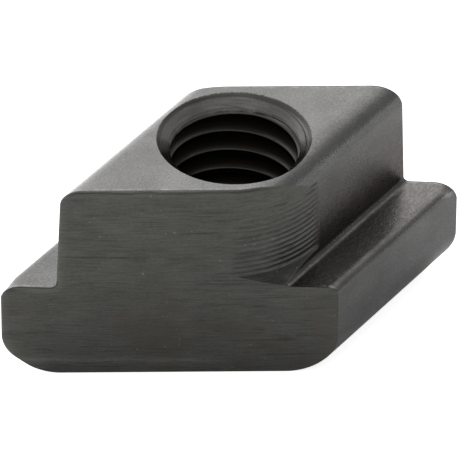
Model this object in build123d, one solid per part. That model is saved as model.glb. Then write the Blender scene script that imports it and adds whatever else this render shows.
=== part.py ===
from build123d import *
from math import cos, radians, sin, tan
import os

# Rhombus T-slot nut for a 10 mm slot, threaded M8, in millimetres.
# The origin is the middle of the bottom face, +X runs along the slot and +Z up the bore.
# It is made from a rolled T-shaped bar, sawn off obliquely, so the nut is a rhombus from above.
# It drops into the slot and turns into place, so the two blunt corners of its neck are milled round.

height = 12.12
flange_width = 14.61
ledge_height = 5.72            # where the ledges meet the neck
ledge_lean = 3.4               # both ledges lean down towards -Y, in degrees
saw_distance = 9.33            # between the two sawn faces
saw_angle = 54.4               # between the sawn faces and the slot, in degrees
blank_length = 40.0            # of the bar before it is sawn off

# The bar's rolled sides differ a little, so each pair is (+Y side, -Y side).
neck_top = (4.65, 4.78)        # from the middle to each flank, which leans out towards its foot
neck_foot = (4.9, 4.94)
top_rounding = (0.9, 1.4)
ledge_edge_rounding = (0.6, 0.62)
bottom_bevel = (1.68, 1.36)    # at 45 degrees, blended into the bottom and the side
bevel_blend = 2.2
foot_fillet = 0.32

corner_radius = 5.8            # of the milled corners, tangent to the sawn face
corner_reach = (5.3, 4.84)     # from the middle to the flat end of each milled corner's arc
corner_overrun = 4.0           # how far the cutter turns past that end, in degrees
cutter_nose = 0.9              # the rounding that the cutter leaves at the foot of the corner
cutter_floor = 5.84            # the lowest level that it reaches, just clear of the ledges
cutter_width = 1.0             # just enough to clear the whole corner

thread_minor_diameter = 6.65   # across the crests of the M8 thread
countersink_diameter = 8.32
bore_shift = 0.158             # the bore is this far off the middle, along the saw cuts

bore_x = bore_shift * cos(radians(saw_angle))
bore_y = -bore_shift * sin(radians(saw_angle))


def half_section(side, sign):
    """Corners of half the bar's section, from the bottom bevel up to the top, each with its rounding."""
    edge = flange_width / 2
    foot = neck_foot[side]
    ledge_edge_height = ledge_height + sign * (edge - foot) * tan(radians(ledge_lean))
    bevel = bottom_bevel[side]
    corners = [
        (edge - bevel, 0, bevel_blend),
        (edge, bevel, bevel_blend),
        (edge, ledge_edge_height, ledge_edge_rounding[side]),
        (foot, ledge_height, foot_fillet),
        (neck_top[side], height, top_rounding[side]),
    ]
    return [((sign * y, z), rounding) for y, z, rounding in corners]


def rolled_bar():
    """The T-shaped bar, which runs along the slot."""
    outline = half_section(0, 1) + half_section(1, -1)[::-1]
    corners = [corner for corner, rounding in outline]
    roundings = [rounding for corner, rounding in outline]
    with BuildPart() as bar:
        with BuildSketch(Plane.YZ):
            with BuildLine():
                FilletPolyline(*corners, radius=roundings, close=True)
            make_face()
        extrude(amount=blank_length / 2, both=True)
    return bar.part


def saw_slab():
    """What the two oblique saw cuts leave of the bar."""
    slab = Box(blank_length, saw_distance, height, align=(Align.CENTER, Align.CENTER, Align.MIN))
    return Rot(0, 0, -saw_angle) * slab


def corner_sweep(reach):
    """What the milling cutter takes at a blunt corner of the neck, placed at the -Y side."""
    centre_y = corner_radius - reach
    past_saw_cut = corner_radius - saw_distance / 2
    centre_x = (past_saw_cut - centre_y * cos(radians(saw_angle))) / sin(radians(saw_angle))
    with BuildPart() as sweep:
        with BuildSketch(Plane.XZ) as cutter:
            with Locations((corner_radius, cutter_floor)):
                Rectangle(cutter_width, height - cutter_floor, align=(Align.MIN, Align.MIN))
            inner_foot = cutter.vertices().sort_by(Axis.Y)[:2].sort_by(Axis.X)[0]
            fillet(inner_foot, cutter_nose)
        revolve(axis=Axis.Z, revolution_arc=saw_angle + corner_overrun)
    return Pos(centre_x, centre_y) * Rot(0, 0, -90 - saw_angle) * sweep.part


def bore():
    """The bore at the thread's crests, countersunk at 45 degrees at both ends."""
    crest = thread_minor_diameter / 2
    rim = countersink_diameter / 2
    depth = rim - crest
    with BuildPart() as tool:
        with BuildSketch(Plane.XZ):
            with BuildLine():
                Polyline(
                    (0, 0),
                    (rim, 0),
                    (crest, depth),
                    (crest, height - depth),
                    (rim, height),
                    (0, height),
                    close=True,
                )
            make_face()
        revolve(axis=Axis.Z)
    return Pos(bore_x, bore_y) * tool.part


def t_slot_nut():
    """The sawn bar with both blunt corners milled and the bore drilled."""
    plus_y_reach, minus_y_reach = corner_reach
    corner = corner_sweep(minus_y_reach)
    opposite_corner = Rot(0, 0, 180) * corner_sweep(plus_y_reach)
    return rolled_bar() & saw_slab() - corner - opposite_corner - bore()


os.makedirs("parts", exist_ok=True)
nut = t_slot_nut()
nut.label = "t_slot_nut"
export_step(nut, "parts/t_slot_nut.step")
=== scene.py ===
import bpy
import bmesh
import math
import numpy as np
from mathutils import Matrix, Vector


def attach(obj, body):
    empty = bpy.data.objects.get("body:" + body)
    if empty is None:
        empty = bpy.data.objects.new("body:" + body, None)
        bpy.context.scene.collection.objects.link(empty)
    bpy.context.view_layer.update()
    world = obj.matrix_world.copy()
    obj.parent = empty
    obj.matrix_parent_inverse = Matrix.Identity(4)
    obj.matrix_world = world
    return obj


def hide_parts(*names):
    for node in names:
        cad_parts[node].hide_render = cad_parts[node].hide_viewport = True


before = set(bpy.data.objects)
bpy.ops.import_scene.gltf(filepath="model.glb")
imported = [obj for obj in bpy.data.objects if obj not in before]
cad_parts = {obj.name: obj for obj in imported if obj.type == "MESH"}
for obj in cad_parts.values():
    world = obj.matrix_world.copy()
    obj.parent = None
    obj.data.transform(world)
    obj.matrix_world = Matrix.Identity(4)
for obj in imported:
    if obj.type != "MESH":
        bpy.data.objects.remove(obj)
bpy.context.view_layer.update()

# One rhombus T-slot nut, M8, drawn in millimetres and put into the scene in metres.
# +X runs along the slot, +Z up the bore, and the origin is the middle of the bottom face.

millimetre = 0.001

# The rolled T-bar and the two saw cuts. Pairs are (+Y side, -Y side).
barShape = {
    "height": 12.12,
    "flangeWidth": 14.61,
    "neckTop": (4.65, 4.78),  # from the middle of the bar to each flank
    "neckFoot": (4.9, 4.94),
    "ledgeHeight": 5.72,
    "ledgeLean": 3.4,  # degrees, down towards -Y
    "sawDistance": 9.33,
    "sawAngle": 54.4,  # degrees, between the cuts and the slot
    "topRounding": (0.9, 1.4),
    "ledgeEdgeRounding": ((0.4, 0.4), (0.44, 0.5)),  # down the wall and in along the ledge
    "endRounding": ((0.8, 0.8), (1.08, 1.08)),  # the same edges at the flange's acute corners
    "endLength": 1.4,  # how far that wear reaches along the bar
    "bottomBevel": (1.68, 1.36),
    "bevelBlend": 2.2,
    "footFillet": 0.32,
}

# The two blunt neck corners, milled round.
cornerShape = {
    "radius": 5.8,
    "reach": (5.3, 4.84),  # from the middle of the bar to the flat end of each corner
    "overrun": 4.0,  # degrees past the flat end
    "noseRadius": 0.9,
    "floor": 5.84,
    "noseTop": 6.42,  # where the lowest pass breaks off over the nose
    "ridgePitch": 0.326,
    "ridgeDepth": 0.03,
    "ridgeStart": 12.0,  # degrees of turn by which the ridges are full
    "ridgeFade": (7.8, 11.5),  # heights between which they grow shallow
    "ridgeLeft": 0.2,  # what is left of them above that
    "deeperTurn": (20.0, 50.0),  # degrees of turn over which they deepen again
    "deeper": 0.5,
    "runOut": (0.6, 2.6),  # degrees a crest takes to run out on the flank, and a hollow on top of that
}

# The M8 thread and its countersinks.
threadShape = {
    "pitch": 1.25,
    "minorRadius": 3.325,
    "majorRadius": 4.03,
    "rimRadius": 4.16,
    "shift": 0.158,  # the bore's distance off the middle, along the cuts
    "phase": -0.116,
    "mouthDepth": 0.015,  # how deep the thread still cuts into the countersink
    "crestWear": 0.14,  # the crests' corners are worn to this radius
    "lip": 0.01,  # how far below a countersink the helix starts
}

# How finely each part of the surface is divided.
steps = {
    "front": 80,  # across the neck's sawn face
    "arc": 30,  # round a milled corner
    "along": 56,  # along the flank, the ledge and the wall
    "neck": 105,  # up the neck, with its fillet and half its top rounding
    "lift": 44,  # the neck's upper rows, which bend to meet the top face
    "bevelFoot": 3,
    "bevel": 12,
    "wall": 16,
    "ledgeEdge": 12,
    "ledge": 14,
    "foot": 6,
    "topRounding": 20,
    "crown": 80,
    "land": 15,  # from the outline in to the bore
    "rim": 120,  # round the bore
    "cone": 36,  # down a countersink
}

sawTurn = math.radians(barShape["sawAngle"])
cutNormal = np.array([-math.sin(sawTurn), -math.cos(sawTurn)])
cutAlong = np.array([math.cos(sawTurn), -math.sin(sawTurn)])
boreX = threadShape["shift"] * math.cos(sawTurn)
boreY = -threadShape["shift"] * math.sin(sawTurn)


def smooth(value, low, high):
    # 0 below low, 1 above high, and an S curve between
    part = np.clip((value - low) / (high - low), 0.0, 1.0)
    return part * part * (3 - 2 * part)


def run(start, end, count):
    # points evenly along a straight line, both ends included
    part = np.linspace(0.0, 1.0, count + 1)[:, None]
    return (1 - part) * np.asarray(start, float) + part * np.asarray(end, float)


def roundCorner(before, corner, after, radius, count):
    # the arc of the given radius that touches both lines through the corner
    before, corner, after = (np.asarray(p, float) for p in (before, corner, after))
    back = (before - corner) / np.linalg.norm(before - corner)
    ahead = (after - corner) / np.linalg.norm(after - corner)
    half = math.acos(float(np.clip(back @ ahead, -1, 1))) / 2
    centre = corner + (back + ahead) / np.linalg.norm(back + ahead) * radius / math.sin(half)
    first = corner + back * radius / math.tan(half) - centre
    last = corner + ahead * radius / math.tan(half) - centre
    sweep = math.pi - 2 * half
    part = np.linspace(0.0, 1.0, count + 1)[:, None]
    return centre + (np.sin((1 - part) * sweep) * first + np.sin(part * sweep) * last) / math.sin(sweep)


def ovalCorner(before, corner, after, reach, count):
    # a quarter of an oval that leaves both lines through the corner at the given reaches
    before, corner, after = (np.asarray(p, float) for p in (before, corner, after))
    back = (before - corner) / np.linalg.norm(before - corner) * reach[0]
    ahead = (after - corner) / np.linalg.norm(after - corner) * reach[1]
    turn = np.linspace(0.0, math.pi / 2, count + 1)[:, None]
    return corner + (1 - np.sin(turn)) * back + (1 - np.cos(turn)) * ahead


def halfProfile(side, edgeRounding):
    # One side of the bar's section, as distance from the middle and height:
    # the outer wall, the ledge and the neck, each from below upwards.
    b = barShape
    sign = 1 if side == 0 else -1
    edge = b["flangeWidth"] / 2
    foot = b["neckFoot"][side]
    top = b["neckTop"][side]
    bevel = b["bottomBevel"][side]
    ledgeEdge = b["ledgeHeight"] + sign * (edge - foot) * math.tan(math.radians(b["ledgeLean"]))
    corners = [
        (edge - bevel, 0.0),
        (edge, bevel),
        (edge, ledgeEdge),
        (foot, b["ledgeHeight"]),
        (top, b["height"]),
        (0.0, b["height"]),
    ]
    bevelArc = roundCorner(corners[0], corners[1], corners[2], b["bevelBlend"], steps["bevel"])
    edgeArc = ovalCorner(corners[1], corners[2], corners[3], edgeRounding, steps["ledgeEdge"])
    footArc = roundCorner(corners[2], corners[3], corners[4], b["footFillet"], steps["foot"])
    topArc = roundCorner(corners[3], corners[4], corners[5], b["topRounding"][side], steps["topRounding"])
    bevelMiddle = (np.array(corners[0]) + np.array(corners[1])) / 2
    edgeHalf = steps["ledgeEdge"] // 2
    topHalf = steps["topRounding"] // 2
    wall = np.vstack([
        run(bevelMiddle, bevelArc[0], steps["bevelFoot"])[:-1],
        bevelArc,
        run(bevelArc[-1], edgeArc[0], steps["wall"])[1:],
        edgeArc[1:edgeHalf + 1],
    ])
    ledge = np.vstack([edgeArc[edgeHalf:], run(edgeArc[-1], footArc[0], steps["ledge"])[1:]])
    flankRows = steps["neck"] - steps["foot"] - topHalf
    neck = np.vstack([footArc, run(footArc[-1], topArc[0], flankRows)[1:], topArc[1:topHalf + 1]])
    return wall, ledge, neck


def topHeight(y):
    # height of the top face, which rolls over towards each flank on an arc
    b = barShape
    height = np.zeros_like(y)
    for side in (0, 1):
        tilt = math.atan2(b["neckFoot"][side] - b["neckTop"][side], b["height"] - b["ledgeHeight"])
        radius = b["topRounding"][side]
        start = b["neckTop"][side] - radius * math.tan((math.pi / 2 - tilt) / 2)
        over = np.clip(np.abs(y) - start, 0.0, radius)
        arc = b["height"] - radius + np.sqrt(radius**2 - over**2)
        height = np.where((y > 0) == (side == 0), arc, height)
    return height


def bottomHeight(y):
    # height of the bottom face, which blends up into each bevel
    b = barShape
    bevel = np.where(y > 0, b["bottomBevel"][0], b["bottomBevel"][1])
    start = b["flangeWidth"] / 2 - bevel - b["bevelBlend"] * math.tan(math.pi / 8)
    over = np.abs(y) - start
    arcEnd = b["bevelBlend"] * math.sin(math.pi / 4)
    onArc = np.clip(over, 0.0, arcEnd)
    arc = b["bevelBlend"] - np.sqrt(b["bevelBlend"] ** 2 - onArc**2)
    return arc + np.clip(over - arcEnd, 0.0, None)


def frontX(y):
    return -(barShape["sawDistance"] / 2 + y * math.cos(sawTurn)) / math.sin(sawTurn)


def backX(y):
    return (barShape["sawDistance"] / 2 - y * math.cos(sawTurn)) / math.sin(sawTurn)


sweepEnd = sawTurn + math.radians(cornerShape["overrun"])


def cutterAxis(side):
    # The cutter's path touches the sawn face, and its flat end is the corner's reach from the middle.
    y = cornerShape["radius"] - cornerShape["reach"][side]
    x = (cornerShape["radius"] - barShape["sawDistance"] / 2 - y * math.cos(sawTurn)) / math.sin(sawTurn)
    return x, y


def scallop(z):
    # 0 on the crest between two passes and 1 in the middle of a pass
    c = cornerShape
    return np.abs(np.sin(math.pi * (z - c["noseTop"]) / c["ridgePitch"])) * (z > c["noseTop"])


def cornerRadius(z, turn):
    # The milled wall flares out on the cutter's nose towards the floor,
    # and above it each pass leaves a shallow scallop.
    c = cornerShape
    nose = lambda drop: c["noseRadius"] - np.sqrt(c["noseRadius"] ** 2 - drop**2)
    foot = c["floor"] + c["noseRadius"]
    drop = np.clip(foot - np.minimum(z, c["noseTop"]), 0.0, c["noseRadius"])
    flare = nose(drop) - nose(foot - c["noseTop"])
    fade = smooth(turn, 0.0, math.radians(c["ridgeStart"]))
    fade = fade * (1 - (1 - c["ridgeLeft"]) * smooth(z, *c["ridgeFade"]))
    fade = fade * (1 + c["deeper"] * smooth(turn, *np.radians(c["deeperTurn"])))
    return c["radius"] + flare - c["ridgeDepth"] * scallop(z) * fade


def cornerPoint(axis, radius, turn):
    # the point at this radius from the cutter's axis, turned from the cut towards the flank
    x = axis[0] + radius * (np.cos(turn) * cutNormal[0] + np.sin(turn) * cutAlong[0])
    y = axis[1] + radius * (np.cos(turn) * cutNormal[1] + np.sin(turn) * cutAlong[1])
    return x, y


def milledCorner(side, neck, top, lift):
    # The milled wall, in rows up the neck, and the small step at the end of the cutter's path.
    # Each row is an arc about the cutter's axis from the sawn face to the flank. Below the
    # cutter's nose the rows shrink to the corner between those two.
    axis = cutterAxis(side)
    w, z = neck[:, 0:1], neck[:, 1:2]
    off = np.hstack([frontX(-w), -w]) - np.array(axis)
    edgeTurn = np.arctan2(off @ cutAlong, off @ cutNormal)[:, None]
    edgeReach = np.hypot(off[:, 0], off[:, 1])[:, None]
    touch = barShape["sawDistance"] / 2 - axis[0] * cutNormal[0] - axis[1] * cutNormal[1]
    endRadius = cornerRadius(z, np.full_like(z, sweepEnd))
    gone = (endRadius >= edgeReach) | (z <= cornerShape["floor"])
    ratio = (w + axis[1]) / endRadius
    crosses = ratio < 0.9976  # the arc reaches the flank before it runs along it
    endTurn = np.where(crosses, sawTurn - np.arccos(np.clip(ratio, -1, 1)), sweepEnd)
    endTurn = np.where(gone, edgeTurn, endTurn)
    startRadius = cornerRadius(z + (barShape["height"] - z[-1]) * lift, np.zeros_like(z))
    startTurn = np.where(gone, edgeTurn, np.arccos(np.clip(touch / startRadius, -1, 1)))
    part = np.linspace(0, 1, steps["arc"] + 1)[None, :]
    turn = startTurn + (endTurn - startTurn) * part
    # the arc's upper end lies on the top face
    topY = cornerPoint(axis, np.full_like(turn[-1:], cornerShape["radius"]), turn[-1:])[1]
    arcZ = z + (top(topY) - z[-1]) * lift
    reach = np.where(gone, edgeReach, cornerRadius(arcZ, turn))
    reach[:, :1] = np.where(gone, edgeReach, touch / np.cos(startTurn))
    # where the flank stands prouder than the cut, the wall runs out to it, each pass a little differently
    flankReach = (w + axis[1]) / np.cos(turn - sawTurn)
    atCrest, inHollow = cornerShape["runOut"]
    runOut = smooth(turn, endTurn - np.radians(atCrest + inHollow * scallop(z) ** 2), endTurn)
    reach = np.where(gone | crosses, reach, reach + (flankReach - reach) * runOut)
    x, y = cornerPoint(axis, reach, turn)
    arc = np.stack([x, y, arcZ + 0 * x], axis=-1)
    arc[:, -1, 2] = z[:, 0]
    stepX = cornerPoint(axis, (w + axis[1]) / np.cos(endTurn - sawTurn), endTurn)[0]
    stepAt = np.where(gone | crosses, arc[:, -1], np.hstack([stepX, -w, z]))
    return arc, np.stack([arc[:, -1], stepAt], axis=1)


def ledgeAndWall(side):
    # the ledge and the outer wall below it, whose edge is worn rounder towards the far acute corner
    wall, ledge = halfProfile(side, barShape["ledgeEdgeRounding"][side])[:2]
    wornWall, wornLedge = halfProfile(side, barShape["endRounding"][side])[:2]
    skirt = np.vstack([wall, ledge[1:]])
    worn = np.vstack([wornWall, wornLedge[1:]])
    part = np.linspace(0, 1, steps["along"] + 1)[None, :]
    toEnd = (1 - part) * (backX(-worn[-1, 0]) - frontX(-worn[-1, 0])) / barShape["endLength"]
    wear = 1 - smooth(toEnd, 0.0, 1.0)
    w = skirt[:, 0:1] + (worn[:, 0:1] - skirt[:, 0:1]) * wear
    h = skirt[:, 1:2] + (worn[:, 1:2] - skirt[:, 1:2]) * wear
    x = frontX(-w) + (backX(-w) - frontX(-w)) * part
    return np.stack([x, -w, h], axis=-1)


def filledIn(lower, upper, left, right, across, rise):
    # a surface between four lines: the blends of the two facing pairs, less the blend of the four ends
    a, b = across[None, :, None], rise[:, None, None]
    return (
        (1 - b) * lower[None] + b * upper[None]
        + (1 - a) * left[:, None] + a * right[:, None]
        - (1 - a) * (1 - b) * lower[0] - a * (1 - b) * lower[-1]
        - (1 - a) * b * upper[0] - a * b * upper[-1]
    )


def flangeFace(left, right, neckFoot, bottom):
    # the flange's sawn face, as place across and height, put on the cut's plane
    mirrored = np.array([-1.0, 1.0])
    wallL, ledgeL = halfProfile(left, barShape["endRounding"][left])[:2]
    wallR, ledgeR = halfProfile(right, barShape["ledgeEdgeRounding"][right])[:2]
    wallR, ledgeR = wallR * mirrored, ledgeR * mirrored
    upper = np.vstack([ledgeL, neckFoot[1:-1, 1:], ledgeR[::-1]])
    across = (upper[:, 0] - upper[0, 0]) / (upper[-1, 0] - upper[0, 0])
    lowerY = wallL[0, 0] + (wallR[0, 0] - wallL[0, 0]) * across
    lower = np.stack([lowerY, bottom(lowerY)], axis=-1)
    lower[0] = wallL[0]
    lower[-1] = wallR[0]
    grow = sum(np.linalg.norm(np.diff(wall, axis=0), axis=1) for wall in (wallL, wallR))
    rise = np.concatenate([[0], np.cumsum(grow)]) / grow.sum()
    flat = filledIn(lower, upper, wallL, wallR, across, rise)
    return np.stack([frontX(flat[..., 0]), flat[..., 0], flat[..., 1]], axis=-1)


def halfNut(left, right):
    # Half of the outside, as seen from its sawn face: +Y is its left side.
    # left and right are 0 or 1, the sides of the bar in barShape's pairs.
    flip = 1 if left == 0 else -1
    top = lambda y: topHeight(flip * y)
    bottom = lambda y: bottomHeight(flip * y)
    neckL = halfProfile(left, barShape["endRounding"][left])[2]
    neckR = halfProfile(right, barShape["ledgeEdgeRounding"][right])[2]
    wL, zL = neckL[:, 0:1], neckL[:, 1:2]
    wR, zR = neckR[:, 0:1], neckR[:, 1:2]
    fromTop = np.arange(len(neckL))[::-1, None]
    lift = np.clip(1 - fromTop / steps["lift"], 0.0, 1.0)
    arc, step = milledCorner(right, neckR, top, lift)

    # the neck's sawn face, from the acute edge to the milled corner
    part = np.linspace(0, 1, steps["front"] + 1)[None, :]
    y = wL + (arc[:, :1, 1] - wL) * part
    z = zL + (zR - zL) * part
    z = z + (top(y[-1:]) - z[-1:]) * lift
    face = np.stack([frontX(y), y, z], axis=-1)
    face[:, -1] = arc[:, 0]

    # the flank, on to the far acute edge, which takes up the step within its first eighth
    part = np.linspace(0, 1, steps["along"] + 1)[None, :]
    x = step[:, -1:, 0] + (backX(-wR) - step[:, -1:, 0]) * part
    yStart = step[:, -1:, 1]
    flank = np.stack([x, yStart + (-wR - yStart) * np.clip(part * 8, 0, 1), zR + 0 * x], axis=-1)

    side = ledgeAndWall(right)
    flange = flangeFace(left, right, face[0], bottom)
    return {"face": face, "arc": arc, "step": step, "flank": flank, "side": side, "flange": flange}


def halfTurn(grid):
    return grid * np.array([-1.0, -1.0, 1.0])


# across the thread, from the middle of a crest: to its corner and to the root's corner
flankTilt = math.radians(30)
rootHalf = threadShape["pitch"] * 7 / 16
crestHalf = rootHalf - (threadShape["majorRadius"] - threadShape["minorRadius"]) * math.tan(flankTilt)
crestTouch = threadShape["crestWear"] * math.tan(flankTilt)


def threadRadius(turn, z):
    # The groove's depth goes by the place within one pitch of the helix: a flat
    # crest, a worn corner, a flank 30 degrees off square, a flat root and back again.
    t = threadShape
    place = ((z - t["phase"] - t["pitch"] * turn / (2 * math.pi)) / t["pitch"] + 0.5) % 1.0 - 0.5
    past = np.abs(place) * t["pitch"] - crestHalf
    flank = past / math.tan(flankTilt)
    onArc = np.clip(past + crestTouch, 0.0, t["crestWear"])
    arc = t["crestWear"] - np.sqrt(t["crestWear"] ** 2 - onArc**2)
    climb = np.where(past < t["crestWear"] * math.cos(flankTilt) - crestTouch, arc, flank)
    return t["minorRadius"] + np.clip(climb, 0.0, t["majorRadius"] - t["minorRadius"])


def borePoints(turn, radius, z):
    return np.stack([boreX + radius * np.cos(turn), boreY + radius * np.sin(turn), z + 0 * radius], axis=-1)


def boreRim(turn):
    # The edge where the countersink comes out through the top face, found by going
    # back and forth between the cone's radius and the face's height.
    radius = np.full_like(turn, threadShape["rimRadius"])
    for again in range(8):
        z = topHeight(boreY + radius * np.sin(turn))
        radius = threadShape["rimRadius"] - (barShape["height"] - z)
    return z


def countersink(turn, z, sunk, inner):
    # A cone of 45 degrees, sunk so far below its face, with the end of the thread cut into it.
    # inner runs from 0 at the face to 1 at the crests.
    t = threadShape
    cone = t["rimRadius"] - sunk
    mouth = cone + t["mouthDepth"] + smooth(inner, 0.8, 1.0)
    cut = np.where(inner > 0, np.minimum(threadRadius(turn, z), mouth), 0.0)
    return borePoints(turn, np.maximum(np.maximum(cone, t["minorRadius"]), cut), z)


def boreWall():
    t = threadShape
    height = barShape["height"]
    turn = np.linspace(0, 2 * math.pi, steps["rim"] + 1)[None, :]
    depth = t["rimRadius"] - t["minorRadius"] + t["lip"]
    part = np.linspace(0, 1, steps["cone"] + 1)[:, None]
    rimZ = boreRim(turn)
    z = rimZ + (height - depth - rimZ) * part
    upper = countersink(turn, z, height - z, part)
    z = depth * (1 - part) + 0 * turn
    lower = countersink(turn, z, z, 1 - part)
    # the helix between the countersinks: rows follow the thread and are cut off level at both ends
    bend = crestHalf - crestTouch + t["crestWear"] * np.sin(np.radians([0, 15, 30, 45, 60]))
    climb = np.concatenate([bend, np.linspace(bend[-1], rootHalf, 4)[1:]])
    places = np.concatenate([[0.0], climb, [t["pitch"] / 2], t["pitch"] - climb[::-1]])
    first, last = -2, int(height / t["pitch"]) + 2
    rows = (np.arange(first, last)[:, None] * t["pitch"] + places[None, :]).ravel()[:, None]
    z = rows + t["phase"] + t["pitch"] * turn / (2 * math.pi)
    z = np.clip(z, depth, height - depth)
    helix = borePoints(turn, np.maximum(threadRadius(turn, z), t["minorRadius"]), z)
    return upper, helix, lower


# The top and the bottom run in from the outline to the bore: where their rounded margins
# start on the two sides, and the share of the rows that lies on such a margin at most.
landShape = {"topStarts": (3.4, 3.55), "bottomStarts": (4.8, 5.1), "marginShare": 0.66}


def landGrid(loop, rimPoints, height, starts):
    # From each point of the outer loop a straight line runs in to the nearest
    # point of the bore's rim; its heights follow the face. Lines that cross
    # the rounded margin, outside starts, have most of their rows there.
    count = len(rimPoints) - 1
    turn = np.arctan2(loop[:, 1] - boreY, loop[:, 0] - boreX) % (2 * math.pi)
    nearest = np.rint(turn / (2 * math.pi) * count).astype(int) % count
    ends = rimPoints[nearest]
    outer, inner = np.abs(loop[:, 1]), np.abs(ends[:, 1])
    start = np.where(loop[:, 1] > 0, starts[0], starts[1])
    share = landShape["marginShare"]
    margin = np.clip((outer - start) / np.maximum(outer - np.minimum(inner, outer - 1e-3), 1e-3), 0.0, 1.0)
    margin = np.where((outer > start) & (inner < start), np.clip(margin, 0.03, share), share)
    power = np.log(margin) / math.log(share)
    part = (np.linspace(0, 1, steps["land"] + 1)[:, None] ** power[None, :])[:, :, None]
    grid = loop[None] + (ends - loop)[None] * part
    grid[1:-1, :, 2] = height(grid[1:-1, :, 1])
    return grid


def outerLoop(parts):
    return np.vstack([p[:-1] for p in parts] + [parts[0][:1]])


def nutGrids():
    # every surface of the nut with its finish: 0 rolled, 1 cut, 2 bore
    one = halfNut(0, 1)
    two = {k: halfTurn(g) for k, g in halfNut(1, 0).items()}
    upper, helix, lower = boreWall()
    grids = []
    for half in (one, two):
        grids += [
            (half["face"], 1), (half["flange"], 1), (half["arc"], 1),
            (half["step"], 1), (half["flank"], 0), (half["side"], 0),
        ]
    topLoop = outerLoop([half[k][-1] for half in (one, two) for k in ("face", "arc", "step", "flank")])
    bottomLoop = outerLoop([half[k][0] for half in (one, two) for k in ("flange", "side")])
    grids.append((landGrid(topLoop, upper[0], topHeight, landShape["topStarts"]), 0))
    grids.append((landGrid(bottomLoop, lower[-1], bottomHeight, landShape["bottomStarts"])[::-1], 0))
    grids += [(upper, 2), (helix[::-1], 2), (lower, 2)]
    return grids


def weld(grids, name):
    # puts the grids into one mesh, joins the shared edges and turns the faces outwards
    points, faces, finish = [], [], []
    base = 0
    for grid, material in grids:
        rows, columns = grid.shape[:2]
        index = base + np.arange(rows * columns).reshape(rows, columns)
        quads = np.stack([index[:-1, :-1], index[:-1, 1:], index[1:, 1:], index[1:, :-1]], axis=-1)
        points.append(grid.reshape(-1, 3))
        faces.append(quads.reshape(-1, 4))
        finish.append(np.full((rows - 1) * (columns - 1), material))
        base += rows * columns
    points = np.vstack(points) * millimetre
    faces = np.vstack(faces)
    mesh = bpy.data.meshes.new(name)
    mesh.from_pydata(points.tolist(), [], faces.tolist())
    mesh.polygons.foreach_set("material_index", np.concatenate(finish).astype(np.int32))
    work = bmesh.new()
    work.from_mesh(mesh)
    bmesh.ops.remove_doubles(work, verts=work.verts, dist=2e-7)
    bmesh.ops.dissolve_degenerate(work, edges=work.edges, dist=1e-8)
    bmesh.ops.recalc_face_normals(work, faces=work.faces)
    work.to_mesh(mesh)
    work.free()
    mesh.update()
    return mesh


def outlineOf(left, right):
    # the sawn face's outline, as place along the cut and height
    ends = barShape["endRounding"][left], barShape["ledgeEdgeRounding"][right]
    sides = [np.vstack([p[1:] for p in halfProfile(side, worn)]) for side, worn in zip((left, right), ends)]
    flip = 1 if left == 0 else -1
    y = np.linspace(sides[0][-1, 0], -sides[1][-1, 0], steps["crown"])
    crown = np.stack([y, topHeight(flip * y)], axis=-1)
    loop = np.vstack([sides[0], crown, sides[1][::-1] * (-1, 1), sides[0][:1]])
    return loop * (1 / math.sin(sawTurn), 1)


markShape = {
    "farInside": 5.0,  # the edge distance of a point that is on no sawn face
    "middle": 1.2,  # nearer to the plane halfway between the cuts than this, a point is on neither half
    "onCut": 0.0004,  # nearer to the saw cut than this, a point isn't on the milled corner
    "millTurn": 6.0,  # degrees of turn over which the milled look comes in
    "skinDepth": 0.05,  # how deep the rolled skin's look reaches
}


def markPoints(mesh):
    # Stores with each point how far it lies inside the sawn face's outline, in millimetres,
    # how far round the milled corner it is and how much it is on the rolled skin, from 0 to 1.
    count = len(mesh.vertices)
    points = np.empty(count * 3)
    mesh.vertices.foreach_get("co", points)
    points = points.reshape(-1, 3) / millimetre
    edge, mill, skin = np.full(count, markShape["farInside"]), np.zeros(count), np.zeros(count)
    for sign, left, right in ((1, 0, 1), (-1, 1, 0)):
        near = sign * points[:, :2] @ cutNormal
        picked = np.flatnonzero(near > markShape["middle"])
        place = points[picked] * (sign, sign, 1)
        flat = np.stack([place[:, 1] / math.sin(sawTurn), place[:, 2]], axis=-1)
        loop = outlineOf(left, right)
        start, side = loop[:-1], np.diff(loop, axis=0)
        offset = flat[:, None] - start[None]
        along = np.clip((offset * side).sum(-1) / np.maximum((side**2).sum(-1), 1e-9), 0, 1)
        edge[picked] = np.sqrt(((offset - along[..., None] * side) ** 2).sum(-1).min(1))
        below = topHeight((1 if left == 0 else -1) * place[:, 1]) - place[:, 2]
        edge[picked] = np.where(below < edge[picked], np.abs(below), edge[picked])
        away = place[:, :2] - np.array(cutterAxis(right))
        turn = np.arctan2(away @ cutAlong, away @ cutNormal)
        inside = np.hypot(away[:, 0], away[:, 1]) < cornerShape["radius"] + cornerShape["noseRadius"]
        inside &= (place[:, 2] > cornerShape["floor"] - 0.05) & (place[:, 1] < 0)
        inside &= near[picked] < barShape["sawDistance"] / 2 - markShape["onCut"]
        mill[picked] = smooth(turn, 0.0, math.radians(markShape["millTurn"])) * inside
        neck = halfProfile(right, barShape["endRounding"][right])[2]
        gap = np.interp(place[:, 2], neck[:, 1], neck[:, 0]) + place[:, 1]
        skin[picked] = 1 - smooth(gap, 0.0, markShape["skinDepth"])
        skin[picked] *= (place[:, 2] > neck[steps["foot"] // 2, 1]) & (place[:, 1] < 0)
    for name, values in (("edge", edge), ("mill", mill), ("skin", skin)):
        mesh.attributes.new(name, "FLOAT", "POINT").data.foreach_set("value", values.astype(np.float32))


nutMesh = weld(nutGrids(), "tSlotNut")
markPoints(nutMesh)
triangles = sum(len(face.vertices) - 2 for face in nutMesh.polygons)
print("nut surface:", len(nutMesh.vertices), "points,", triangles, "triangles")


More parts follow.
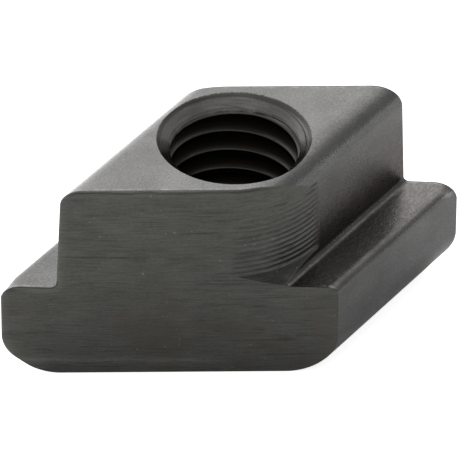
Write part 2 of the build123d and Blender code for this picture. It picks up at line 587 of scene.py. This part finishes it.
def newMaterial(name):
    material = bpy.data.materials.new(name)
    material.use_nodes = True
    tree = material.node_tree
    tree.nodes.clear()
    out = tree.nodes.new("ShaderNodeOutputMaterial")
    shader = tree.nodes.new("ShaderNodeBsdfPrincipled")
    tree.links.new(shader.outputs[0], out.inputs["Surface"])
    return material, tree, shader


def connect(tree, value, socket):
    # a socket takes a plain number, a colour or another node's output
    if isinstance(value, (int, float)):
        socket.default_value = value
    elif isinstance(value, tuple):
        socket.default_value = (*value, 1)
    else:
        tree.links.new(value, socket)


def calc(tree, operation, first, second=0.0):
    made = tree.nodes.new("ShaderNodeMath")
    made.operation = operation
    connect(tree, first, made.inputs[0])
    connect(tree, second, made.inputs[1])
    return made.outputs[0]


def total(tree, first, *others):
    for other in others:
        first = calc(tree, "ADD", first, other)
    return first


def product(tree, first, *others):
    for other in others:
        first = calc(tree, "MULTIPLY", first, other)
    return first


def less(tree, first, second):
    return calc(tree, "SUBTRACT", first, second)


def placeOf(tree, turn=0.0):
    # object coordinates in millimetres, turned about Z
    coords = tree.nodes.new("ShaderNodeTexCoord")
    turned = tree.nodes.new("ShaderNodeMapping")
    turned.inputs["Rotation"].default_value = (0, 0, turn)
    turned.inputs["Scale"].default_value = [1 / millimetre] * 3
    tree.links.new(coords.outputs["Object"], turned.inputs["Vector"])
    return turned.outputs[0]


def axesOf(tree, place):
    apart = tree.nodes.new("ShaderNodeSeparateXYZ")
    tree.links.new(place, apart.inputs[0])
    return apart.outputs[0], apart.outputs[1], apart.outputs[2]


def grain(tree, turn, cells, detail, rough):
    # cloudy noise with so many cells a millimetre along each of the turned axes
    stretched = tree.nodes.new("ShaderNodeVectorMath")
    stretched.operation = "MULTIPLY"
    stretched.inputs[1].default_value = cells
    tree.links.new(placeOf(tree, turn), stretched.inputs[0])
    made = tree.nodes.new("ShaderNodeTexNoise")
    made.inputs["Scale"].default_value = 1.0
    made.inputs["Detail"].default_value = detail
    made.inputs["Roughness"].default_value = rough
    tree.links.new(stretched.outputs[0], made.inputs["Vector"])
    return made.outputs["Fac"]


def spread(tree, value, fromLow, fromHigh, toLow, toHigh):
    # one stretch of values carried over to another, and cut off at its ends
    made = tree.nodes.new("ShaderNodeMapRange")
    tree.links.new(value, made.inputs["Value"])
    for name, number in zip(("From Min", "From Max", "To Min", "To Max"), (fromLow, fromHigh, toLow, toHigh)):
        made.inputs[name].default_value = number
    return made.outputs[0]


def band(tree, value, low, high, soft):
    # 1 between low and high, fading out over soft on both sides
    rising = spread(tree, value, low - soft, low + soft, 0, 1)
    return product(tree, rising, spread(tree, value, high - soft, high + soft, 1, 0))


def blend(tree, factor, below, above):
    # a colour laid over another one
    made = tree.nodes.new("ShaderNodeMix")
    made.data_type = "RGBA"
    tree.links.new(factor, made.inputs["Factor"])
    first, second = (socket for socket in made.inputs if socket.type == "RGBA")
    connect(tree, below, first)
    connect(tree, above, second)
    return [socket for socket in made.outputs if socket.type == "RGBA"][0]


def scaled(tree, colour, factor):
    made = tree.nodes.new("ShaderNodeVectorMath")
    made.operation = "SCALE"
    tree.links.new(colour, made.inputs[0])
    tree.links.new(factor, made.inputs["Scale"])
    return made.outputs[0]


def attribute(tree, name):
    made = tree.nodes.new("ShaderNodeAttribute")
    made.attribute_name = name
    return made.outputs["Fac"]


def metal(tree, shader, colour, rough, height, depth):
    # bare metal, with the height pattern as relief of the given depth in millimetres
    relief = tree.nodes.new("ShaderNodeBump")
    relief.inputs["Strength"].default_value = 1.0
    relief.inputs["Distance"].default_value = depth * millimetre
    tree.links.new(height, relief.inputs["Height"])
    tree.links.new(relief.outputs[0], shader.inputs["Normal"])
    tree.links.new(colour, shader.inputs["Base Color"])
    tree.links.new(rough, shader.inputs["Roughness"])
    shader.inputs["Metallic"].default_value = 1.0


usual = (0.36, 0.64)  # where nearly all values of a mixed grain lie

cutFinish = {
    "dark": (0.086, 0.0865, 0.0785),
    "light": (0.153, 0.1535, 0.1415),
    "rough": (0.46, 0.36),
    "relief": 0.011,
    # grains: cells a millimetre along the cut, into the steel and upwards, detail and roughness
    "saw": ((0.9, 3, 14), 5.0, 0.65),
    "brush": ((0.55, 3, 11), 4.0, 0.75),
    "cloud": ((0.5, 0.5, 0.8), 3.0, 0.6),
    "grit": ((5, 6, 9), 3.0, 0.75),
    "shares": (0.3, 0.33, 0.15, 0.22),  # of these four in the colour
    "patch": ((0.35, 0.35, 0.5), 2.0, 0.5),
    "lines": ((0.2, 1, 5.2), 5.0, 0.62),
    "wander": ((0.9, 1, 1), 3.0, 0.6),
    "dots": ((5.5, 5.5, 5.5), 1.5, 0.5),
    "cluster": ((0.45, 0.45, 0.8), 1.0, 0.5),
    "brown": (0.115, 0.102, 0.086),
    "brownHeights": (6.4, 4.6),  # none above, most below
    "streak": 0.74,  # what a dark saw mark leaves of the colour
    "underLine": (0.1, 0.24, 0.04),  # the dark line's place below the top edge, and its softness
    "underHeights": (11.7, 11.85),
    "under": 0.36,
    # painted shade along the ledge's edge on the sawn face: its heights and softness
    "ledgeShadeLine": (5.6, 6.2, 0.08),
    "passShade": 0.78,  # painted shade: what the hollow of a milling pass leaves of the colour
    "passHeights": (7.5, 11.0),  # the hollows are plain below and faint above
    "nose": 0.5,  # painted shade: what is left in the corner under the lowest pass
    "skin": (0.13, 0.128, 0.126),
    # brown that comes in down the skin, partly painted shade, and the heights over which it does
    "skinBelow": (0.08, 0.068, 0.06),
    "skinHeights": (11.0, 7.0),
    "speck": (0.3, 0.3, 0.29),
}


def cutSteel():
    # Sawn across, with long marks along the cut; the milled corner blends in over the mill attribute.
    material, tree, shader = newMaterial("cutSteel")
    look, c = cutFinish, cornerShape
    mill, edge, skin = (attribute(tree, name) for name in ("mill", "edge", "skin"))
    x, y, z = axesOf(tree, placeOf(tree, sawTurn))
    saw, brush, cloud, grit = (grain(tree, sawTurn, *look[k]) for k in ("saw", "brush", "cloud", "grit"))
    parts = [product(tree, g, share) for g, share in zip((saw, brush, cloud, grit), look["shares"])]
    mixed = total(tree, *parts)
    colour = blend(tree, spread(tree, mixed, 0.4, 0.6, 0, 1), look["dark"], look["light"])
    patch = spread(tree, grain(tree, sawTurn, *look["patch"]), 0.48, 0.62, 0, 0.4)
    brown = product(tree, patch, spread(tree, z, *look["brownHeights"], 0, 1))
    colour = blend(tree, brown, colour, look["brown"])
    # long dark marks of the saw
    lines = grain(tree, sawTurn, *look["lines"])
    mark = spread(tree, lines, 0.57, 0.66, 1, look["streak"])
    # a dark line a little under the top edge, painted shade along the ledge's edge, and a painted highlight
    # as a thin light rim along the outline, the last two on the acute side
    wander = grain(tree, sawTurn, *look["wander"])
    shifted = total(tree, edge, spread(tree, wander, 0.3, 0.7, -0.05, 0.05))
    under = spread(tree, z, *look["underHeights"], 0, look["under"])
    under = product(tree, band(tree, shifted, *look["underLine"]), under)
    ledge = product(tree, spread(tree, edge, 0.06, 0.12, 0.5, 0), band(tree, z, *look["ledgeShadeLine"]))
    acute = spread(tree, product(tree, x, y), 0, 6, 0, 1)
    rim = total(tree, spread(tree, edge, 0.04, 0.14, 0.25, 0), spread(tree, edge, 0.1, 0.5, 0.22, 0))
    # painted shade in the hollows of the milling passes and a painted highlight on their crests, and painted
    # shade in the corner of the nose below them
    phase = product(tree, less(tree, z, c["noseTop"]), math.pi / c["ridgePitch"])
    hollow = product(tree, calc(tree, "ABSOLUTE", calc(tree, "SINE", phase)), mill)
    hollow = product(tree, hollow, spread(tree, z, c["noseTop"] - 0.02, c["noseTop"] + 0.02, 0, 1))
    hollow = product(tree, hollow, spread(tree, z, *look["passHeights"], 1, 0.25))
    passes = spread(tree, hollow, 0.3, 1, 1.04, look["passShade"])
    low = product(tree, mill, spread(tree, z, c["noseTop"], c["noseTop"] - 0.1, 0, 1))
    nose = spread(tree, low, 0.15, 0.5, 1, look["nose"])
    shade = product(tree, mark, passes, nose, less(tree, 1.0, under))
    # painted highlight along the outline on the acute side
    shade = product(tree, shade, total(tree, 1.0, product(tree, rim, acute)))
    # painted shade along the ledge's edge on the acute side
    shade = product(tree, shade, less(tree, 1.0, product(tree, ledge, acute)))
    colour = scaled(tree, colour, shade)
    # the rolled skin shows through beside the flank, browner and darker lower down: brown and painted shade
    colour = blend(tree, skin, colour, look["skin"])
    skinBelow = product(tree, skin, spread(tree, z, *look["skinHeights"], 0, 1))
    colour = blend(tree, skinBelow, colour, look["skinBelow"])
    dots = spread(tree, grain(tree, sawTurn, *look["dots"]), 0.69, 0.79, 0, 0.8)
    cluster = spread(tree, grain(tree, sawTurn, *look["cluster"]), 0.5, 0.6, 0, 1)
    colour = blend(tree, product(tree, dots, cluster), colour, look["speck"])
    height = total(tree, product(tree, saw, 0.7), product(tree, grit, 0.4))
    height = less(tree, height, spread(tree, lines, 0.6, 0.68, 0, 0.35))
    metal(tree, shader, colour, spread(tree, mixed, *usual, *look["rough"]), height, look["relief"])
    return material


rolledFinish = {
    "dark": (0.102, 0.1005, 0.0985),
    "light": (0.164, 0.162, 0.16),
    "rough": (0.33, 0.25),
    "relief": 0.013,
    # grains: cells a millimetre along X, Y and Z, detail and roughness
    "grit": ((7.5, 8.5, 8.5), 3.0, 0.75),
    "cloud": ((0.5, 0.5, 0.8), 3.0, 0.6),
    "shares": (0.65, 0.35),  # of these two in the colour
    "rust": ((3, 6, 6), 3.0, 0.6),
    "broken": ((2.5, 2.5, 2.5), 3.0, 0.7),
    "dots": ((7, 7, 7), 1.0, 0.5),
    # brown patches; down the flanks and in the cove they also carry painted shade
    "brown": (0.08, 0.068, 0.06),
    "flank": (4.4, 5.2, 0.06),  # the flanks' distance from the middle, and its softness
    "flankBrownAndShadeHeights": (11.0, 7.0),  # brown, and with it painted shade, comes in from the first height down to the second
    "flankFoot": (5.95, 6.1),
    "cove": 0.6,  # painted shade: what is left of the colour where the -Y ledge meets the neck
    "coveEdge": (7.27, 6.9),
    "coveShadeEnds": (5.0, 8.0),  # the painted shade opens up towards the ends of the ledge
    "filletShadeBand": (4.93, 5.2, 0.04),
    "fillet": 0.6,  # painted shade: what is left of the colour in the fillet under the neck
    "besideCutShade": 0.45,  # and, as painted shade, in the thin dark line beside a saw cut
    # the colour of the bright dots and of the painted highlight beside a saw cut
    "speck": (0.26, 0.26, 0.26),
}


def rolledSteel():
    # Rolled and pickled: a fine sandy skin, browner and darker down the neck's flanks, partly painted shade,
    # with small bright dots; painted shade in the cove and the fillet, and painted shade and a painted
    # highlight beside the saw cuts.
    material, tree, shader = newMaterial("rolledSteel")
    look = rolledFinish
    x, y, z = axesOf(tree, placeOf(tree))
    out = calc(tree, "ABSOLUTE", y)
    grit, cloud, rust = (grain(tree, 0.0, *look[k]) for k in ("grit", "cloud", "rust"))
    mixed = total(tree, product(tree, grit, look["shares"][0]), product(tree, cloud, look["shares"][1]))
    colour = blend(tree, spread(tree, mixed, *usual, 0, 1), look["dark"], look["light"])
    # brown patches down the flanks, darker lower down: brown stain and painted shade
    flank = product(tree, band(tree, out, *look["flank"]), spread(tree, z, *look["flankBrownAndShadeHeights"], 0, 1))
    flank = product(tree, flank, spread(tree, z, *look["flankFoot"], 0, 1))
    colour = blend(tree, product(tree, flank, spread(tree, rust, 0.35, 0.62, 0.45, 1)), colour, look["brown"])
    # brown and painted shade where the -Y ledge meets the neck, the shade opening up towards the ledge's ends
    ledge = product(tree, spread(tree, y, -5.1, -5.25, 0, 1), spread(tree, z, 6.3, 6.1, 0, 1))
    cove = product(tree, ledge, spread(tree, out, *look["coveEdge"], 0, 1))
    colour = blend(tree, product(tree, cove, spread(tree, rust, 0.42, 0.6, 0, 0.6)), colour, look["brown"])
    closed = spread(tree, calc(tree, "ABSOLUTE", x), *look["coveShadeEnds"], 1, 0)
    colour = scaled(tree, colour, spread(tree, product(tree, cove, closed), 0, 1, 1, look["cove"]))
    # painted shade in the fillet under the neck
    fillet = product(tree, band(tree, out, *look["filletShadeBand"]), spread(tree, z, 6.0, 5.9, 0, 1))
    colour = scaled(tree, colour, spread(tree, fillet, 0, 1, 1, look["fillet"]))
    # beside the saw cut, on the upward faces, a thin line of painted shade and, inside it, a broken painted
    # highlight
    across = calc(tree, "ABSOLUTE", axesOf(tree, placeOf(tree, sawTurn))[1])
    beside = less(tree, barShape["sawDistance"] / 2, across)
    upward = calc(tree, "MAXIMUM", spread(tree, z, 11.9, 12.0, 0, 1), band(tree, z, 5.4, 6.0, 0.1))
    dull = product(tree, spread(tree, beside, 0.03, 0.07, 1, 0), upward)
    broken = spread(tree, grain(tree, 0.0, *look["broken"]), 0.45, 0.62, 0, 1)
    bright = product(tree, band(tree, beside, 0.06, 0.17, 0.03), upward, broken, 0.5)
    colour = scaled(tree, colour, spread(tree, dull, 0, 1, 1, look["besideCutShade"]))
    colour = blend(tree, bright, colour, look["speck"])
    dots = spread(tree, grain(tree, 0.0, *look["dots"]), 0.72, 0.78, 0, 0.6)
    colour = blend(tree, dots, colour, look["speck"])
    metal(tree, shader, colour, spread(tree, mixed, *usual, *look["rough"]), grit, look["relief"])
    return material


boreFinish = {
    "dark": (0.12, 0.116, 0.11),
    "light": (0.18, 0.176, 0.172),
    "rough": (0.24, 0.16),
    "roughGroove": 0.4,  # added towards the bottom of the groove
    "relief": 0.006,
    # grains: cells a millimetre along X, Y and Z, detail and roughness
    "fine": ((0.8, 0.8, 16), 3.0, 0.6),
    "grit": ((9, 9, 12), 3.0, 0.6),
    "shares": (0.6, 0.4),  # of these two in the colour
    "wander": ((1.2, 1.2, 1), 3.0, 0.6),
    "flecks": ((8, 8, 8), 2.0, 0.6),
    "groove": (0.075, 0.064, 0.055),
    "thread": 0.36,  # painted shade: what is left of the colour inside the thread
    "boreShadeFrom": (0.72, 0.86),  # where the painted shade starts, below the top
    "rim": 0.6,  # what is left just inside the countersink's edge
    "rimBand": (0.03, 0.2, 0.03),  # its place below the top, and its softness
    # dark rings turned into the countersink's foot: place below the top, softness, and strength
    "turned": ((0.605, 0.63, 0.015, 0.35), (0.71, 0.765, 0.02, 0.45), (0.6, 0.9, 0.03, 0.22)),
    # a painted highlight along the countersink's edge
    "burr": (0.42, 0.42, 0.42),
}


def threadSteel():
    # Turned and tapped: fine rings round the bore, darker towards the bottom of the groove, and painted shade
    # inside the bore.
    material, tree, shader = newMaterial("threadSteel")
    look = boreFinish
    x, y, z = axesOf(tree, placeOf(tree))
    fromAxis = [calc(tree, "POWER", less(tree, v, c), 2.0) for v, c in ((x, boreX), (y, boreY))]
    radius = calc(tree, "SQRT", total(tree, *fromAxis))
    fine, grit = (grain(tree, 0.0, *look[k]) for k in ("fine", "grit"))
    mixed = total(tree, product(tree, fine, look["shares"][0]), product(tree, grit, look["shares"][1]))
    colour = blend(tree, spread(tree, mixed, *usual, 0, 1), look["dark"], look["light"])
    # deeper than the crest, and deeper than the countersink's cone where that is wider
    cone = less(tree, z, barShape["height"] - threadShape["rimRadius"])
    depth = less(tree, radius, calc(tree, "MAXIMUM", threadShape["minorRadius"], cone))
    inGroove = product(tree, spread(tree, depth, 0.04, 0.3, 0, 1), spread(tree, z, 11.9, 11.3, 0.3, 1))
    colour = blend(tree, inGroove, colour, look["groove"])
    below = less(tree, barShape["height"], z)
    # painted shade inside the bore, from a little below the top
    inside = spread(tree, below, *look["boreShadeFrom"], 1, look["thread"])
    wander = grain(tree, 0.0, *look["wander"])
    fromTop = total(tree, below, spread(tree, wander, 0.3, 0.7, -0.012, 0.012))
    rim = less(tree, 1.0, product(tree, band(tree, fromTop, *look["rimBand"]), 1 - look["rim"]))
    rings = [product(tree, band(tree, fromTop, *place), dark) for *place, dark in look["turned"]]
    turned = total(tree, *rings)
    turned = product(tree, turned, spread(tree, wander, 0.38, 0.55, 0.45, 1))
    colour = scaled(tree, colour, product(tree, inside, rim, less(tree, 1.0, turned)))
    # a broken painted highlight along the countersink's edge
    flecks = spread(tree, grain(tree, 0.0, *look["flecks"]), 0.42, 0.6, 0, 1)
    burr = product(tree, spread(tree, fromTop, 0.05, 0.02, 0, 0.7), flecks)
    colour = blend(tree, burr, colour, look["burr"])
    rough = spread(tree, mixed, *usual, *look["rough"])
    rough = total(tree, rough, product(tree, inGroove, look["roughGroove"]))
    metal(tree, shader, colour, rough, mixed, look["relief"])
    return material


nutFinishes = [rolledSteel(), cutSteel(), threadSteel()]

nut = bpy.data.objects.new("tSlotNut", nutMesh)
bpy.context.scene.collection.objects.link(nut)
for material in nutFinishes:
    nutMesh.materials.append(material)
nutMesh.shade_smooth()
nutMesh.set_sharp_from_angle(angle=math.radians(28))  # keeps the sawn edges and the step crisp
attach(nut, "root")
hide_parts("t_slot_nut")
print("nut in place, with", len(nutFinishes), "finishes")

# Floor: pale, and white to the eye where it is fully lit, so it keeps the nut's shadow.
floorLook = {
    "size": 4.0,  # in metres
    "sunk": 0.02,  # in millimetres below the nut
    "colour": (0.85, 0.85, 0.85),
    "glowToEye": 0.8,
    "glowBehind": 1.8,  # what the nut's glossy skin sees on the far side, and from where in millimetres
    "glowTurn": -40.0,
    "glowFrom": (5, 30),
}


def paleFloor():
    half, drop = floorLook["size"] / 2, -floorLook["sunk"] * millimetre
    mesh = bpy.data.meshes.new("floor")
    corners = [(x, y, drop) for x, y in ((-half, -half), (half, -half), (half, half), (-half, half))]
    mesh.from_pydata(corners, [], [(0, 1, 2, 3)])
    floor = bpy.data.objects.new("floor", mesh)
    bpy.context.scene.collection.objects.link(floor)
    material, tree, shader = newMaterial("paleFloor")
    shader.inputs["Roughness"].default_value = 1.0
    shader.inputs["Specular IOR Level"].default_value = 0.0
    path = tree.nodes.new("ShaderNodeLightPath")
    mirrored = calc(tree, "MAXIMUM", path.outputs["Is Glossy Ray"], path.outputs["Is Transmission Ray"])
    away = axesOf(tree, placeOf(tree, math.radians(floorLook["glowTurn"])))[0]
    behind = spread(tree, away, *floorLook["glowFrom"], 0, floorLook["glowBehind"])
    toEye = product(tree, path.outputs["Is Camera Ray"], floorLook["glowToEye"])
    tree.links.new(total(tree, toEye, product(tree, mirrored, behind)), shader.inputs["Emission Strength"])
    shader.inputs["Emission Color"].default_value = (1, 1, 1, 1)
    shader.inputs["Base Color"].default_value = (*floorLook["colour"], 1)
    mesh.materials.append(material)


paleFloor()

# World: white to the eye, and for the rest a soft studio that is brightest behind and above the nut,
# a little darker at the horizon in front and dark straight above.
studio = {
    "plain": 0.5,
    # lights: degrees of turn and height, strength, and how nearly a ray points there at the soft edge
    "softbox": (45.0, 45.0, 1.28, (0.5, 0.85)),
    "backdrop": (42.0, 4.0, 0.7, (0.78, 0.96)),
    "fill": (-145.0, 55.0, 0.35, (0.7, 0.97)),
    "towards": 0.6,  # added little by little towards the softbox
    "horizon": 0.68,
    "horizonEdge": 0.16,
    "horizonOpen": (0.45, 0.7),  # under the softbox the horizon isn't darker
    "zenith": 0.2,
    "zenithEdge": (0.85, 0.95),
}


def facing(tree, direction, turn, height):
    # how nearly a direction points at the given turn and height, from 0 to 1
    turn, height = math.radians(turn), math.radians(height)
    towards = tree.nodes.new("ShaderNodeVectorMath")
    towards.operation = "DOT_PRODUCT"
    tree.links.new(direction, towards.inputs[0])
    level = math.cos(height)
    towards.inputs[1].default_value = (math.cos(turn) * level, math.sin(turn) * level, math.sin(height))
    along = tree.nodes.new("ShaderNodeClamp")
    tree.links.new(towards.outputs["Value"], along.inputs[0])
    return along.outputs[0]


def eased(tree, value, edge, low, high):
    made = spread(tree, value, *edge, low, high)
    made.node.interpolation_type = "SMOOTHSTEP"
    return made


def softStudio():
    world = bpy.data.worlds.new("softStudio")
    bpy.context.scene.world = world
    world.use_nodes = True
    tree = world.node_tree
    tree.nodes.clear()
    out = tree.nodes.new("ShaderNodeOutputWorld")
    plain = tree.nodes.new("ShaderNodeBackground")
    white = tree.nodes.new("ShaderNodeBackground")
    white.inputs["Color"].default_value = (1, 1, 1, 1)
    direction = tree.nodes.new("ShaderNodeTexCoord").outputs["Generated"]
    toSoftbox = facing(tree, direction, *studio["softbox"][:2])
    level = total(tree, product(tree, toSoftbox, studio["towards"]), studio["plain"])
    for name in ("softbox", "backdrop", "fill"):
        turn, height, strength, edge = studio[name]
        level = total(tree, level, eased(tree, facing(tree, direction, turn, height), edge, 0, strength))
    upward = axesOf(tree, direction)[2]
    rise = spread(tree, upward, 0, studio["horizonEdge"], studio["horizon"], 1)
    rise = calc(tree, "MAXIMUM", rise, eased(tree, toSoftbox, studio["horizonOpen"], 0, 1))
    dome = eased(tree, upward, studio["zenithEdge"], 1, studio["zenith"])
    tree.links.new(product(tree, level, rise, dome), plain.inputs["Strength"])
    path = tree.nodes.new("ShaderNodeLightPath")
    mix = tree.nodes.new("ShaderNodeMixShader")
    tree.links.new(path.outputs["Is Camera Ray"], mix.inputs[0])
    tree.links.new(plain.outputs[0], mix.inputs[1])
    tree.links.new(white.outputs[0], mix.inputs[2])
    tree.links.new(mix.outputs[0], out.inputs["Surface"])


softStudio()
print("floor and studio ready")

# Camera: a long lens well above the nut, looking at its front sawn face from the side.
view = {
    "eye": (-246.467, -170.771, 232.125),  # in millimetres
    "turn": -55.259,  # degrees from +X to the picture's right
    "height": 37.015,  # degrees above the level
    "roll": 0.125,
    "lens": 550.2,
    "sensor": 36,
    "clip": (0.01, 20),
}


def placeCamera():
    data = bpy.data.cameras.new("camera")
    camera = bpy.data.objects.new("camera", data)
    bpy.context.scene.collection.objects.link(camera)
    turn, up, roll = (math.radians(view[k]) for k in ("turn", "height", "roll"))
    right = Vector((math.cos(turn), math.sin(turn), 0))
    back = Vector((math.sin(turn) * math.cos(up), -math.cos(turn) * math.cos(up), math.sin(up)))
    above = back.cross(right)
    across = right * math.cos(roll) + above * math.sin(roll)
    upward = above * math.cos(roll) - right * math.sin(roll)
    place = Matrix((across, upward, back)).transposed().to_4x4()
    place.translation = Vector(view["eye"]) * millimetre
    camera.matrix_world = place
    data.sensor_width = view["sensor"]
    data.lens = view["lens"]
    data.clip_start, data.clip_end = view["clip"]
    bpy.context.scene.camera = camera


placeCamera()
bpy.context.scene.view_settings.view_transform = "Standard"
